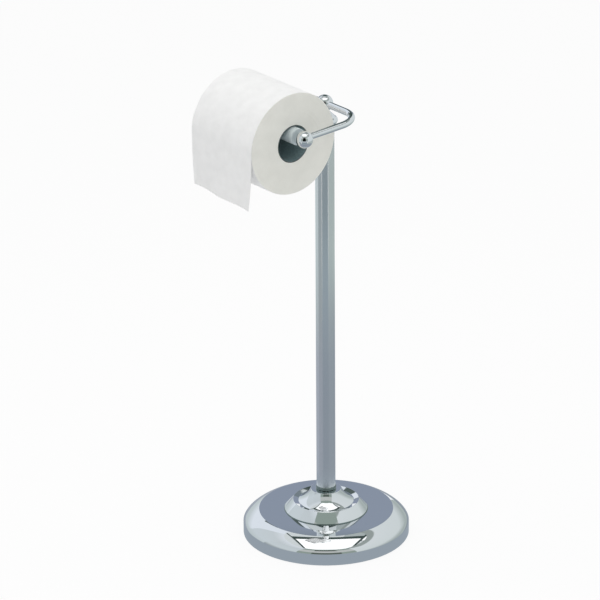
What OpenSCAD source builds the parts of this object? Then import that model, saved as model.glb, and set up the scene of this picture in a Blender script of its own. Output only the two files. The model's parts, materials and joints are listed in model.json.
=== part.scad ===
// Free-standing toilet paper stand. A weighted round foot carries a tube post.
// A bar bent into a C is clamped in the ball on top of the post, and a spring
// roller between its two end balls carries a paper roll with a hanging sheet.
// The origin is the centre of the foot's underside and +Z is up. The roller
// lies along X, on the -Y side of the post.

/* [Foot] */
// Diameter of the foot at its rim
base_d = 184; // [170:1:200]
// Height of the upright rim's top edge above the floor
rim_h = 14; // [12:0.5:16]
// Diameter of the flat plate on top of the foot
plate_d = 149; // [140:1:156]
// Height of the flat plate above the floor
plate_h = 28; // [25:0.5:32]
// How far the shoulder between rim and plate bulges
shoulder_bulge = 2.5; // [1.5:0.25:3.5]
// Wall of the pressed shell
shell_wall = 1.2; // [0.8:0.1:1.8]
// Gap between the shell's lower edge and the floor
rim_lift = 0.8; // [0.4:0.1:1.2]
// Thickness of the foam pad under the foot
pad_t = 2.4; // [1.8:0.2:3.2]
// Diameter of the cast weight's middle boss
weight_boss_d = 60; // [50:1:70]

/* [Bell] */
// Diameter of the bell where it stands on the plate
bell_d = 93.4; // [86:0.2:100]
// Diameter of the sharp edge on top of the bell's lower tier
tier_top_d = 73.2; // [69:0.2:77]
// Height of the lower tier above the plate
tier_h = 11.6; // [10:0.2:13]
// Diameter of the crease between the lower tier and the flared cone
crease_d = 61.4; // [57:0.2:65]
// Depth of that crease below the lower tier's edge
crease_drop = 1.8; // [1:0.2:2.4]
// Diameter of the flat land on top of the cone
cone_top_d = 34; // [29:1:38]
// Height of the bell above the plate
bell_h = 24.4; // [21:0.2:27]
// Wall of the cast bell
bell_wall = 2.2; // [1.6:0.1:2.8]
// Diameter of the bell's inner boss, which the stud pulls down
bell_boss_d = 20; // [16:0.5:22]

/* [Post] */
// Outer diameter of the post
post_d = 21; // [19:0.2:23]
// Wall of the post's tube
post_wall = 1.2; // [0.8:0.1:1.6]
// Diameter of the round collar ring at the post's foot
collar_d = 22.8; // [21.8:0.2:24]
// Height of the collar ring
collar_h = 3.9; // [3.5:0.1:5]
// Length of the threaded plug in the post's foot
foot_insert_l = 24; // [18:1:32]
// Length of the threaded plug in the post's head
top_insert_l = 18; // [14:1:26]
// Diameter of the cap's round bead
cap_d = 28.4; // [26:0.2:31]
// Height of the cap above the post
cap_h = 14; // [12:0.5:17]
// Diameter of the cap's neck under the ball
cap_neck_d = 11.4; // [11:0.2:13]
// Length of the cap's spigot in the post
spigot_l = 4; // [3:0.5:6]

/* [Holder] */
// Height of the hub ball's centre above the floor
hub_h = 505.2; // [440:0.2:620]
// Diameter of the three balls
ball_d = 18.6; // [17.6:0.2:19.6]
// Diameter of the hub ball's short neck
neck_d = 10.6; // [10:0.2:11]
// Diameter of the bent bar
rod_d = 7.5; // [7:0.1:8.2]
// Distance from the middle of one leg to the middle of the other
leg_span = 126; // [123.4:0.2:140]
// Distance from the back bar to the middle of the end balls
leg_reach = 78.5; // [76:0.5:90]
// Radius of the bar's bends at its middle line
bend_r = 27.5; // [16:0.5:34]
// Angle by which the legs slope down towards the end balls
leg_slope = 3; // [0:0.2:5]
// How far an end ball's middle lies below the middle line of its leg
ball_drop = 1.4; // [0:0.1:1.8]

/* [Roller] */
// Diameter of the roller's thicker barrel
outer_barrel_d = 18.2; // [17.2:0.2:19]
// Wall of both barrels
barrel_wall = 1; // [0.8:0.05:1.2]
// Gap round the thinner barrel where it slides in the thicker one
barrel_gap = 0.2; // [0.15:0.05:0.3]
// Length of the thicker barrel beyond the stand's middle
outer_barrel_past = 10; // [6:1:16]
// Travel of the thinner barrel until the spring's turns touch
plunger_travel = 16; // [10:1:18]
// Gap between a barrel's end flange and its ball
end_gap = 0.8; // [0.4:0.1:1.4]
// Thickness of an end flange
flange_t = 1.6; // [1.2:0.1:2.4]
// Length of an end plug in its barrel
plug_l = 8; // [6:0.5:11]
// Diameter of the tip pins
tip_d = 6; // [5:0.2:6.4]
// Radial clearance of a tip pin in its socket
tip_clear = 0.1; // [0.05:0.01:0.15]
// Depth of a socket beyond the ball's surface
socket_depth = 6; // [5:0.2:6.4]
// Gap round the spring in the thicker barrel
spring_gap = 0.25; // [0.15:0.05:0.35]
// Diameter of the spring's wire
wire_d = 1.1; // [0.9:0.1:1.3]
// Number of the spring's turns
spring_turns = 11; // [8:1:14]

/* [Paper] */
// Length of the roll along the roller
roll_l = 102.6; // [96:0.2:106]
// Diameter of the full roll
roll_d = 111.2; // [96:0.2:116]
// Inner diameter of the cardboard tube
core_d = 39; // [38:0.2:42]
// Wall of the cardboard tube
core_wall = 1.2; // [0.8:0.1:1.8]
// Gap between the roll's hidden end and the hidden leg
roll_side_gap = 1; // [0.6:0.2:3]
// Softened edge of the roll's two ends
roll_edge_r = 1; // [0.4:0.2:2]
// Length of sheet that hangs below the roller's height
tail_drop = 61.5; // [40:0.5:90]
// Thickness of the hanging sheet
tail_t = 0.5; // [0.4:0.05:0.8]
// How far the sheet's hidden lower corner swings towards the post
tail_in = 2.6; // [0:0.2:5]
// How far the sheet's visible lower corner swings away from the post
tail_out = 4.8; // [0:0.2:8]
// Depth of the sheet's soft lengthwise fold
tail_fold = 1.2; // [0:0.2:2.4]
// Number of that fold's waves across the sheet
tail_waves = 1.5; // [0.5:0.5:3]
// Angle over which the sheet still lies along the roll
tail_wrap = 24; // [12:1:40]

/* [Hidden] */
$fn = 96;

// Overrun of every cut, and the clearance of parts that are pressed or screwed together
cut = 1;
fit = 0.05;
// Running clearance between paper and metal, and between the sheet and the roll
paper_clear = 0.3;
// Points along a drawn arc
arc_steps = 14;
// Corner radius of turned edges
edge_r = 0.6;

// Foot fastening: a stud, a nut and two washers of one thread size
stud_d = 10;
nut_af = 17;
nut_h = 8;
lock_washer_d = 16.6;
lock_washer_t = 2.2;
lock_washer_split = 2;
flat_washer_d = 21;
flat_washer_t = 2;
nut_pocket_d = 25;
stud_end = 1.2;
stud_hole_gap = 0.4;
hub_stud_d = 6;

// The parts of a profile that follow its neighbour's size
inner_rim_share = 0.4;
inner_plate_share = 0.3;
edge_bulge_share = 0.2;
tier_bulge_share = 0.09;
cone_dip_share = 0.09;
cap_bead_share = 0.29;
cap_cone_share = 0.58;
cap_cone_d_share = 0.82;
cap_bead_bulge_share = 0.17;
collar_waist_share = 0.86;
nose_share = 0.5;
crimp_share = 0.75;

base_r = base_d / 2;
plate_r = plate_d / 2;
ball_r = ball_d / 2;
rod_r = rod_d / 2;
roll_r = roll_d / 2;
core_r = core_d / 2;
leg_x = leg_span / 2;

// Heights of the fastening stack, from its ceiling in the weight downwards
pocket_top = pad_t + stud_end + nut_h + lock_washer_t + flat_washer_t;
lock_washer_top = pocket_top - flat_washer_t;
nut_top = lock_washer_top - lock_washer_t;
stud_bottom = nut_top - nut_h - stud_end / 2;

bell_top = plate_h + bell_h;
post_bottom = bell_top + collar_h;
cap_top = hub_h - ball_r;
post_top = cap_top - cap_h;
post_bore = post_d - 2 * post_wall;
insert_d = post_bore - 2 * fit;

// Axis of the roller, through the end balls on the sloping legs, and of the roll that hangs on it
roller_y = ball_drop * sin(leg_slope) - leg_reach * cos(leg_slope);
roller_z = hub_h - leg_reach * sin(leg_slope) - ball_drop * cos(leg_slope);
roll_z = roller_z - (core_r - outer_barrel_d / 2 - paper_clear);
roll_x0 = -leg_x + rod_r + roll_side_gap;

// Places along the roller
ball_face_x = leg_x - ball_r;
flange_x = ball_face_x - end_gap;
tip_x = ball_face_x + socket_depth - end_gap;
barrel_x = flange_x - flange_t;
outer_bore_d = outer_barrel_d - 2 * barrel_wall;
inner_barrel_d = outer_bore_d - 2 * barrel_gap;
inner_bore_d = inner_barrel_d - 2 * barrel_wall;
spring_room = plunger_travel + (spring_turns + 2) * wire_d;
spring_end_x = barrel_x - plug_l;
inner_end_x = spring_end_x - spring_room;
spring_d = outer_bore_d - wire_d - 2 * spring_gap;
bead_ring_d = outer_bore_d - 2 * fit;
crimp_d = inner_barrel_d + 2 * fit;
crimp_l = barrel_wall * crimp_share;

// Arc from a to b that bulges to the right of the way from a to b
function arc_between(a, b, bulge, n = arc_steps) =
    let (chord = norm(b - a),
         way = (b - a) / chord,
         side = [way[1], -way[0]],
         r = (chord * chord / 4 + bulge * bulge) / (2 * abs(bulge)),
         half = asin(chord / 2 / r),
         centre = (a + b) / 2 + side * (bulge - sign(bulge) * r))
    [for (i = [0 : n])
        let (t = half * (2 * i / n - 1))
        centre + way * r * sin(t) + side * sign(bulge) * r * cos(t)];

// Half outline of the foot, from the axis out and back to the axis
function foot_outline(r, low, rim, flat_r, flat_z) =
    concat([[0, low], [r, low]],
           arc_between([r, rim], [flat_r, flat_z], shoulder_bulge),
           [[0, flat_z]]);

// Half outline of the bell, drawn in by a wall
function bell_outline(wall) =
    let (tier_bottom = [bell_d / 2 - wall, plate_h],
         tier_top = [tier_top_d / 2 - wall / 2, plate_h + tier_h - wall],
         crease = [crease_d / 2 - wall / 2, plate_h + tier_h - crease_drop - wall],
         land = [cone_top_d / 2 - wall / 2, bell_top - wall])
    concat([[0, plate_h]],
           arc_between(tier_bottom, tier_top, norm(tier_top - tier_bottom) * tier_bulge_share),
           arc_between(crease, land, -norm(land - crease) * cone_dip_share),
           [[0, bell_top - wall]]);

// Ring between two diameters, standing up from z0
module ring(outer_d, inner_d, z0, h) {
    translate([0, 0, z0])
        difference() {
            cylinder(d = outer_d, h = h);
            translate([0, 0, -cut])
                cylinder(d = inner_d, h = h + 2 * cut);
        }
}

// Turns a shape that is drawn along +Z so that it lies along +X
module along_x() {
    rotate([0, 90, 0])
        children();
}

// Turns a shape that is drawn along +Z so that it lies along +Y
module along_y() {
    rotate([-90, 0, 0])
        children();
}

// Places the bar and the end balls, with the origin in the hub ball's centre
module holder_frame() {
    translate([0, 0, hub_h])
        rotate([leg_slope, 0, 0])
            children();
}

// Places what turns about the roller's axis
module roller_frame() {
    translate([0, roller_y, roller_z])
        children();
}

module foot_pad() {
    color("dimgray")
        cylinder(d = base_d - 2 * shell_wall - 2 * edge_r, h = pad_t);
}

module base_weight() {
    weight_d = base_d - 2 * shell_wall - 2 * edge_r;
    boss_top = plate_h - shell_wall;
    color("darkslategray")
        difference() {
            union() {
                translate([0, 0, pad_t])
                    cylinder(d = weight_d, h = rim_h - shell_wall - pad_t);
                translate([0, 0, pad_t])
                    cylinder(d = weight_boss_d, h = boss_top - pad_t);
            }
            cylinder(d = nut_pocket_d, h = pocket_top);
            cylinder(d = stud_d + 2 * stud_hole_gap, h = boss_top + cut);
        }
}

module base_shell() {
    color("silver")
        rotate_extrude()
            difference() {
                polygon(foot_outline(base_r, rim_lift, rim_h, plate_r, plate_h));
                polygon(foot_outline(base_r - shell_wall, rim_lift - cut,
                                     rim_h - shell_wall * inner_rim_share,
                                     plate_r - shell_wall * inner_plate_share,
                                     plate_h - shell_wall));
                translate([0, plate_h - shell_wall - cut])
                    square([stud_d / 2 + stud_hole_gap, shell_wall + 2 * cut]);
            }
}

module base_stud() {
    color("gray")
        translate([0, 0, stud_bottom])
            cylinder(d = stud_d, h = post_bottom + foot_insert_l - stud_d / 2 - stud_bottom);
}

module base_nut() {
    color("gray")
        translate([0, 0, nut_top - nut_h])
            difference() {
                intersection() {
                    cylinder(d = nut_af / cos(30), h = nut_h, $fn = 6);
                    cylinder(d1 = nut_af, d2 = nut_af + 2 * nut_h, h = nut_h);
                }
                translate([0, 0, -cut])
                    cylinder(d = stud_d + 2 * fit, h = nut_h + 2 * cut);
            }
}

module lock_washer() {
    color("gray")
        difference() {
            ring(lock_washer_d, stud_d + 2 * fit, nut_top, lock_washer_t);
            translate([0, -lock_washer_split / 2, nut_top - cut])
                cube([lock_washer_d, lock_washer_split, lock_washer_t + 2 * cut]);
        }
}

module flat_washer() {
    color("gray")
        ring(flat_washer_d, stud_d + 2 * stud_hole_gap, lock_washer_top, flat_washer_t);
}

module bell_cover() {
    boss_r = bell_boss_d / 2;
    color("silver")
        rotate_extrude()
            difference() {
                polygon(bell_outline(0));
                difference() {
                    translate([0, -cut])
                        polygon(bell_outline(bell_wall));
                    square([boss_r, bell_top]);
                }
                translate([boss_r, plate_h - cut])
                    square([bell_d / 2 - bell_wall - boss_r, cut + edge_r]);
                square([stud_d / 2 + stud_hole_gap, bell_top + cut]);
            }
}

module foot_collar() {
    collar_r = collar_d / 2;
    waist_r = collar_r * collar_waist_share;
    color("slategray")
        rotate_extrude()
            difference() {
                polygon(concat([[0, bell_top]],
                               arc_between([waist_r, bell_top], [waist_r, post_bottom],
                                           collar_r - waist_r),
                               [[0, post_bottom]]));
                translate([0, bell_top - cut])
                    square([stud_d / 2 + stud_hole_gap, collar_h + 2 * cut]);
            }
}

module post_tube() {
    color("silver")
        ring(post_d, post_bore, post_bottom, post_top - post_bottom);
}

module post_foot_insert() {
    color("gray")
        ring(insert_d, stud_d + 2 * fit, post_bottom, foot_insert_l);
}

module post_top_insert() {
    color("gray")
        ring(insert_d, hub_stud_d + 2 * fit, post_top - spigot_l - top_insert_l, top_insert_l);
}

module top_cap() {
    bead_z = post_top + cap_h * cap_bead_share;
    cone_z = post_top + cap_h * cap_cone_share;
    bead_foot = [post_d / 2 + edge_r, post_top];
    bead_head = [cap_d / 2 * cap_cone_d_share, cone_z];
    color("silver")
        rotate_extrude()
            difference() {
                polygon(concat([[0, post_top - spigot_l], [insert_d / 2, post_top - spigot_l],
                                [insert_d / 2, post_top]],
                               arc_between(bead_foot, [cap_d / 2, bead_z],
                                           (bead_z - post_top) * cap_bead_bulge_share),
                               arc_between([cap_d / 2, bead_z], bead_head,
                                           (cone_z - bead_z) * cap_bead_bulge_share),
                               [[cap_neck_d / 2, cap_top]],
                               [[0, cap_top]]));
                translate([0, post_top - spigot_l - cut])
                    square([hub_stud_d / 2 + fit, cap_h + spigot_l + 2 * cut]);
            }
}

module hub_stud() {
    stud_foot = post_top - spigot_l - top_insert_l + hub_stud_d / 2;
    color("gray")
        translate([0, 0, stud_foot])
            cylinder(d = hub_stud_d, h = hub_h - rod_r - 2 * fit - stud_foot);
}

module hub_ball() {
    color("silver")
        difference() {
            union() {
                translate([0, 0, hub_h])
                    sphere(d = ball_d);
                translate([0, 0, cap_top])
                    cylinder(d = neck_d, h = ball_r);
            }
            translate([-ball_d, 0, hub_h])
                along_x()
                    cylinder(d = rod_d + 2 * fit, h = 2 * ball_d);
            translate([0, 0, cap_top - cut])
                cylinder(d = hub_stud_d + 2 * fit, h = ball_r + cut);
        }
}

// One half of the bent bar, from the middle of the back bar to the end of a leg
module half_bar() {
    back_l = leg_x - bend_r;
    leg_end = leg_reach - tip_d / 2 - edge_r;
    along_x()
        cylinder(d = rod_d, h = back_l);
    translate([back_l, -bend_r, 0])
        rotate_extrude(angle = 90)
            translate([bend_r, 0])
                circle(d = rod_d);
    translate([leg_x, -leg_end, 0])
        along_y()
            cylinder(d = rod_d, h = leg_end - bend_r);
}

module holder_bar() {
    color("silver")
        holder_frame() {
            half_bar();
            mirror([1, 0, 0])
                half_bar();
        }
}

// Ball for the leg on +X, with a bore for the leg and a socket for the roller's tip
module end_ball() {
    holder_frame()
        translate([leg_x, -leg_reach, -ball_drop])
            difference() {
                along_x()
                    sphere(d = ball_d);
                translate([0, tip_d / 2 + edge_r, ball_drop])
                    along_y()
                        cylinder(d = rod_d + 2 * fit, h = ball_d);
                translate([-ball_d, 0, 0])
                    along_x()
                        cylinder(d = tip_d + 2 * tip_clear, h = ball_d - ball_r + socket_depth);
            }
}

module right_ball() {
    color("silver")
        end_ball();
}

module left_ball() {
    color("silver")
        mirror([1, 0, 0])
            end_ball();
}

// End piece of the roller on +X: a plug in the barrel, a flange and a tip pin
module end_tip(bore_d, flange_d) {
    nose_d = tip_d + (flange_d - tip_d) * nose_share;
    nose_l = end_gap * nose_share;
    translate([barrel_x - plug_l, 0, 0])
        along_x()
            cylinder(d = bore_d - 2 * fit, h = plug_l);
    translate([barrel_x, 0, 0])
        along_x()
            cylinder(d = flange_d, h = flange_t);
    translate([flange_x, 0, 0])
        along_x()
            cylinder(d1 = nose_d, d2 = tip_d, h = nose_l);
    translate([flange_x, 0, 0])
        along_x()
            cylinder(d = tip_d, h = tip_x - flange_x);
}

module right_tip() {
    color("lightgray")
        roller_frame()
            end_tip(outer_bore_d, outer_barrel_d);
}

module left_tip() {
    color("lightgray")
        roller_frame()
            mirror([1, 0, 0])
                end_tip(inner_bore_d, inner_barrel_d);
}

// The thicker barrel, with a crimped mouth that keeps the thinner barrel in
module roller_outer_barrel() {
    l = barrel_x + outer_barrel_past;
    color("silver")
        roller_frame()
            translate([-outer_barrel_past, 0, 0])
                along_x()
                    difference() {
                        cylinder(d = outer_barrel_d, h = l);
                        translate([0, 0, -cut])
                            cylinder(d = crimp_d, h = l);
                        translate([0, 0, crimp_l])
                            cylinder(d = outer_bore_d, h = l);
                    }
}

// The thinner barrel, with a bead round the end that the spring pushes
module roller_inner_barrel() {
    l = barrel_x + inner_end_x;
    bead_l = 2 * barrel_wall;
    color("silver")
        roller_frame()
            translate([-barrel_x, 0, 0])
                along_x()
                    difference() {
                        union() {
                            cylinder(d = inner_barrel_d, h = l);
                            translate([0, 0, l - bead_l])
                                cylinder(d = bead_ring_d, h = bead_l);
                        }
                        translate([0, 0, -cut])
                            cylinder(d = inner_bore_d, h = l + 2 * cut);
                    }
}

// Points of one ring of the spring's wire, at a turn angle and a place along X
function wire_ring(angle, x, sides) =
    [for (k = [0 : sides - 1])
        let (a = 360 * k / sides,
             r = spring_d / 2 + wire_d / 2 * cos(a))
        [x + wire_d / 2 * sin(a), r * cos(angle), r * sin(angle)]];

// Compression spring between the thinner barrel's end and the plug in the thicker barrel
module roller_spring() {
    sides = 6;
    rings_per_turn = 8;
    x0 = inner_end_x + wire_d / 2 + fit;
    x1 = spring_end_x - wire_d / 2 - fit;
    pitch = (x1 - x0) / spring_turns;
    rings = spring_turns * rings_per_turn;
    body = [for (i = [0 : rings])
        each wire_ring(360 * i / rings_per_turn, x0 + pitch * i / rings_per_turn, sides)];
    sides_faces = [for (i = [0 : rings - 1], k = [0 : sides - 1])
        let (k2 = (k + 1) % sides)
        each [[i * sides + k, (i + 1) * sides + k, (i + 1) * sides + k2],
              [i * sides + k, (i + 1) * sides + k2, i * sides + k2]]];
    start_face = [[for (k = [0 : sides - 1]) k]];
    end_face = [[for (k = [0 : sides - 1]) rings * sides + sides - 1 - k]];
    gap = min([for (i = [0 : rings_per_turn * sides - 1])
        norm(body[i] - body[i + rings_per_turn * sides])]) - wire_d;
    echo(least_gap_between_spring_turns = gap);
    color("gray")
        roller_frame()
            polyhedron(points = body, faces = concat(start_face, sides_faces, end_face));
}

module cardboard_core() {
    color("tan")
        translate([roll_x0, roller_y, roll_z])
            along_x()
                ring(core_d + 2 * core_wall, core_d, 0, roll_l);
}

module paper_roll() {
    bore_r = core_r + core_wall + fit;
    color("white")
        translate([roll_x0, roller_y, roll_z])
            along_x()
                rotate_extrude()
                    polygon(concat([[bore_r, 0]],
                                   arc_between([roll_r - roll_edge_r, 0], [roll_r, roll_edge_r],
                                               roll_edge_r * edge_bulge_share),
                                   arc_between([roll_r, roll_l - roll_edge_r],
                                               [roll_r - roll_edge_r, roll_l],
                                               roll_edge_r * edge_bulge_share),
                                   [[bore_r, roll_l]]));
}

// Place and outward direction of the sheet's middle at a share of its length and width
function tail_point(along, across) =
    let (r = roll_r + paper_clear + tail_t / 2,
         wrap_l = 2 * PI * r * tail_wrap / 360,
         s = along * (wrap_l + tail_drop),
         wrapped = s < wrap_l,
         a = wrapped ? tail_wrap * (1 - s / wrap_l) : 0,
         drop = wrapped ? 0 : s - wrap_l,
         swing = pow(drop / tail_drop, 2),
         fold = tail_fold * swing * sin(360 * tail_waves * across),
         sway = (tail_in * (1 - across) - tail_out * across + fold) * swing)
    [[-r * cos(a) + sway, r * sin(a) - drop], [-cos(a), sin(a)]];

// The sheet that hangs off the roll, still tangent to it at its top
module paper_tail() {
    rows = 26;
    columns = 16;
    skin = [for (side = [1, -1], i = [0 : rows], j = [0 : columns])
        let (p = tail_point(i / rows, j / columns),
             q = p[0] + p[1] * side * tail_t / 2)
        [roll_x0 + roll_l * j / columns, roller_y + q[0], roll_z + q[1]]];
    w = columns + 1;
    half = (rows + 1) * w;
    outer = [for (i = [0 : rows - 1], j = [0 : columns - 1])
        let (p = i * w + j)
        each [[p, p + 1, p + w + 1], [p, p + w + 1, p + w]]];
    inner = [for (f = outer) [f[2] + half, f[1] + half, f[0] + half]];
    rim = concat([for (j = [0 : columns - 1]) j],
                 [for (i = [0 : rows - 1]) i * w + columns],
                 [for (j = [columns : -1 : 1]) rows * w + j],
                 [for (i = [rows : -1 : 1]) i * w]);
    edge = [for (k = [0 : len(rim) - 1])
        let (a = rim[k], b = rim[(k + 1) % len(rim)])
        each [[b, a, a + half], [b, a + half, b + half]]];
    color("white")
        polyhedron(points = skin, faces = concat(outer, inner, edge));
}

foot_pad();
base_weight();
base_shell();
base_nut();
lock_washer();
flat_washer();
base_stud();
bell_cover();
foot_collar();
post_tube();
post_foot_insert();
post_top_insert();
top_cap();
hub_stud();
hub_ball();
holder_bar();
left_ball();
right_ball();
roller_outer_barrel();
left_tip();
roller_spring();
roller_inner_barrel();
right_tip();
cardboard_core();
paper_roll();
paper_tail();
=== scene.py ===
import json
import math

import bpy
import numpy as np
from mathutils import Matrix, Vector


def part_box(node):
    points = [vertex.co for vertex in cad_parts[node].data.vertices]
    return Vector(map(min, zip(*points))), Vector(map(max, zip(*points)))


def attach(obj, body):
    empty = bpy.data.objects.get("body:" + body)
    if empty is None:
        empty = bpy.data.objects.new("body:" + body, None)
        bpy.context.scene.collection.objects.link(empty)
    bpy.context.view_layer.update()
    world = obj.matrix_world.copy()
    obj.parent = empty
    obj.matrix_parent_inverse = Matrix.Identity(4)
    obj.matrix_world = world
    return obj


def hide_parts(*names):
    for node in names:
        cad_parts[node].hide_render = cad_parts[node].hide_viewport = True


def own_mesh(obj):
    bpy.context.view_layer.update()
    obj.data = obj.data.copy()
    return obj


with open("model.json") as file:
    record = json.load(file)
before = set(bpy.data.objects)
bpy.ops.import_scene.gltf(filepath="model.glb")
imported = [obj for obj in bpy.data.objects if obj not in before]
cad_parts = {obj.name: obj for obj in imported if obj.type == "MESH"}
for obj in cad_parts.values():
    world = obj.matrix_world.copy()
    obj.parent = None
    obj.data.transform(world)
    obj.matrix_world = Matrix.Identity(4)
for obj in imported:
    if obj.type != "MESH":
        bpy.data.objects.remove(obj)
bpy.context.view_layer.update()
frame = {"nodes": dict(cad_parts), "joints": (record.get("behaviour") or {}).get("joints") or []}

MM = 0.001

# Camera of the photograph: where it looks, from where, its roll about the line of sight, its lens and sensor
# in millimetres, and how near and far it sees
AIM = Vector((-17.3, -21.5, 277.5)) * MM
AZIMUTH = math.radians(51.43)
ELEVATION = math.radians(22.27)
ROLL = math.radians(-0.36)
DISTANCE = 4767 * MM
LENS = 262.3
SENSOR = 36
CLIP_NEAR = 0.1
CLIP_FAR = 100

# Sizes of the foot, bell, collar, post and cap that the frame's boxes don't give
RIM_H = 14 * MM
PLATE_R = 74.5 * MM
RIM_TURN_R = 88.7 * MM
RIM_TURN_Z = 18.8 * MM
RIM_TURN_BULGE = 0.28 * MM
SHOULDER_BULGE = 0.85 * MM
INNER_BULGE = 1.7 * MM
SHELL_WALL = 1.2 * MM
STUD_HOLE_R = 5.4 * MM
TIER_TOP_R = 36.6 * MM
TIER_H = 11.6 * MM
CREASE_R = 30.7 * MM
CREASE_DROP = 1.8 * MM
CONE_TOP_R = 17 * MM
BELL_WALL = 2.2 * MM
BELL_LIP = 1.1 * MM
BELL_BOSS_R = 10 * MM
POST_WALL = 1.2 * MM
CAP_NECK_R = 5.7 * MM
CAP_FOOT_OUT = 0.6 * MM
TIER_BULGE_SHARE = 0.01
CONE_DIP_SHARE = 0.09
COLLAR_WAIST_SHARE = 0.86
CAP_BEAD_SHARE = 0.29
CAP_CONE_SHARE = 0.58
CAP_CONE_R_SHARE = 0.82
CAP_BEAD_BULGE_SHARE = 0.17

# Sizes of the holder and the roller that the frame's boxes don't give
LEG_SLOPE = math.radians(3)
NECK_R = 5.3 * MM
BEND_R = 27.5 * MM
TIP_R = 3 * MM
TIP_CLEAR = 0.1 * MM
SOCKET_DEPTH = 6 * MM
LEG_END_GAP = 0.6 * MM
BARREL_WALL = 1 * MM
BARREL_GAP = 0.2 * MM
CRIMP_L = 0.75 * MM
FLANGE_T = 1.6 * MM
PLUG_L = 8 * MM
NOSE_L = 0.4 * MM
WIRE_R = 0.55 * MM
SPRING_TURNS = 11
FIT = 0.05 * MM

# Shares of the shell's wall by which the foot's inner outline drops at the rim and draws in at the plate
INNER_RIM_SHARE = 0.4
INNER_PLATE_SHARE = 0.3

# Roll: core's wall, soft edge, fullness, depth, phase and slant of the dents, gap to the sheet, and how
# squarely a face looks along the roller to be of the cut ends
CORE_WALL = 1.2 * MM
ROLL_EDGE = 1 * MM
ROLL_FLUFF = 0.5 * MM
ROLL_DENT = 0.06 * MM
DENT_PHASE = 1.3
DENT_SLANT = 400
ROLL_CLEAR = 0.15 * MM
FACE_ON = 0.7

# Layers on the roll's faces, made of waves: depth of one wave, mean depth in waves, number of waves, their
# least and greatest width in millimetres, the most turns of their spirals, and the seed of the draws
RING_DEPTH = 0.01 * MM
RING_BASE = 3.5
RING_WAVES = 9
RING_LEAST = 0.9
RING_MOST = 6.0
RING_TURNS = 2
RING_SEED = 7

# Hanging sheet: thickness, stretch that lies on the roll, sink at its end, and how its lower edge hangs
SHEET_T = 0.16 * MM
SHEET_WRAP = math.radians(24)
SHEET_SINK = 0.6 * MM
SHEET_IN = 2.6 * MM
SHEET_OUT = 4.8 * MM
SHEET_FOLD = 1.2 * MM
SHEET_WAVES = 1.5

# Light on everything but the camera's and the metal's view, and the floor's lift to white and its reach
AMBIENT = 0.715
AMBIENT_COLOUR = (0.985, 0.99, 0.99, 1)
FLOOR_WHITE = 0.9
FLOOR_REACH = 6

# Reflection cards: distances of the panels on the left, on the right, at the back, at its left and on the
# camera's side, reach and height of the dark room, height of the upper cards, and lift of those on the floor
LEFT_R = 0.8
RIGHT_R = 0.87
BACK_R = 0.9
BACK_LEFT_R = 0.79
CAMERA_R = 2
ROOM_R = 3
ROOM_H = 4
UPPER_Z = 3.5
CARD_LIFT = 0.2 * MM
NEAR_LIFT = 0.3 * MM

# Directions where the cards meet, in degrees to the right of the camera's
FLOOR_HALF = 36
CAMERA_HALF = 42
DIM_HALF = 21
PANEL_START = 40
LEFT_SPLIT = -88
LEFT_FAR = -125
BACK_START = 162
BACK_END = 192

# Black card in front of the visible ball: its lean, and its lowest, highest and side angles from the ball
FLAG_LEAN = math.radians(48)
FLAG_LOW = math.radians(-4)
FLAG_HIGH = math.radians(42)
FLAG_SIDE = math.radians(20)

# Softened corners: radii, steps, and the most of an edge that one takes
SOFT_R = 0.5 * MM
FINE_R = 0.25 * MM
CORNER_STEPS = 6
CORNER_SHARE = 0.45

# Extra points that keep flats flat: distance from the corner, and the least length of a flat that gets them.
# Then the least angle of a sharp edge
HOLD_GAP = 0.25 * MM
HOLD_LEAST = 8 * HOLD_GAP
SHARP_ANGLE = math.radians(40)

# Steps round a turned part and a bar, and along an arc
TURN_STEPS = 288
ROD_STEPS = 64
ARC_STEPS = 24

# Steps along the bar's leg, bend and half of its back, and the spring's steps in a turn and round its wire
LEG_STEPS = 12
BEND_STEPS = 32
BACK_STEPS = 9
COIL_STEPS = 32
WIRE_STEPS = 10

# Steps of the roll's faces, side and edges, and of the sheet down and across
FACE_STEPS = 95
SIDE_STEPS = 59
EDGE_STEPS = 6
SHEET_ROWS = 96
SHEET_COLUMNS = 120

# Steps round the post of the standing and of the lying cards
STANDING_STEPS = 24
LYING_STEPS = 48


# What the frame gives

def joint(name):
    """A joint of the frame."""
    return next(j for j in frame["joints"] if j["name"] == name)


def joint_point(name):
    """Point on the axis of a joint."""
    return Vector(joint(name)["pos_m"])


def turned_size(node):
    """Radius, lowest and highest Z of a node that is round about the post's axis."""
    low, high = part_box(node)
    return high.x, low.z, high.z


def barrel_size(node):
    """Radius, first and last X of a node that is round about the roller's axis."""
    low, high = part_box(node)
    return high.z - joint_point("roller_spin").z, low.x, high.x


BASE_R, RIM_LOW, PLATE_Z = turned_size("base_shell")
BELL_R, _, BELL_TOP = turned_size("bell_cover")
COLLAR_R, _, POST_LOW = turned_size("foot_collar")
POST_R, _, POST_TOP = turned_size("post_tube")
CAP_R, CAP_LOW, CAP_TOP = turned_size("top_cap")
hub_low, hub_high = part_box("hub_ball")
BALL_R = (hub_high.z - hub_low.z) / 2
HUB = Vector((0, 0, (hub_high.z + hub_low.z) / 2))
rod_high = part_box("holder_bar")[1]
ROD_R = rod_high.y
LEG_X = rod_high.x - ROD_R
ROLLER = joint_point("roller_spin")
CORE = joint_point("roll_spin")
ACROSS = Vector((1, 0, 0))
LEG = Vector((0, -math.cos(LEG_SLOPE), -math.sin(LEG_SLOPE)))
LEG_UP = ACROSS.cross(-LEG)
LEG_REACH = (ROLLER - HUB).dot(LEG)
BALL_DROP = (HUB - ROLLER).dot(LEG_UP)


# Outlines

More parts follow.
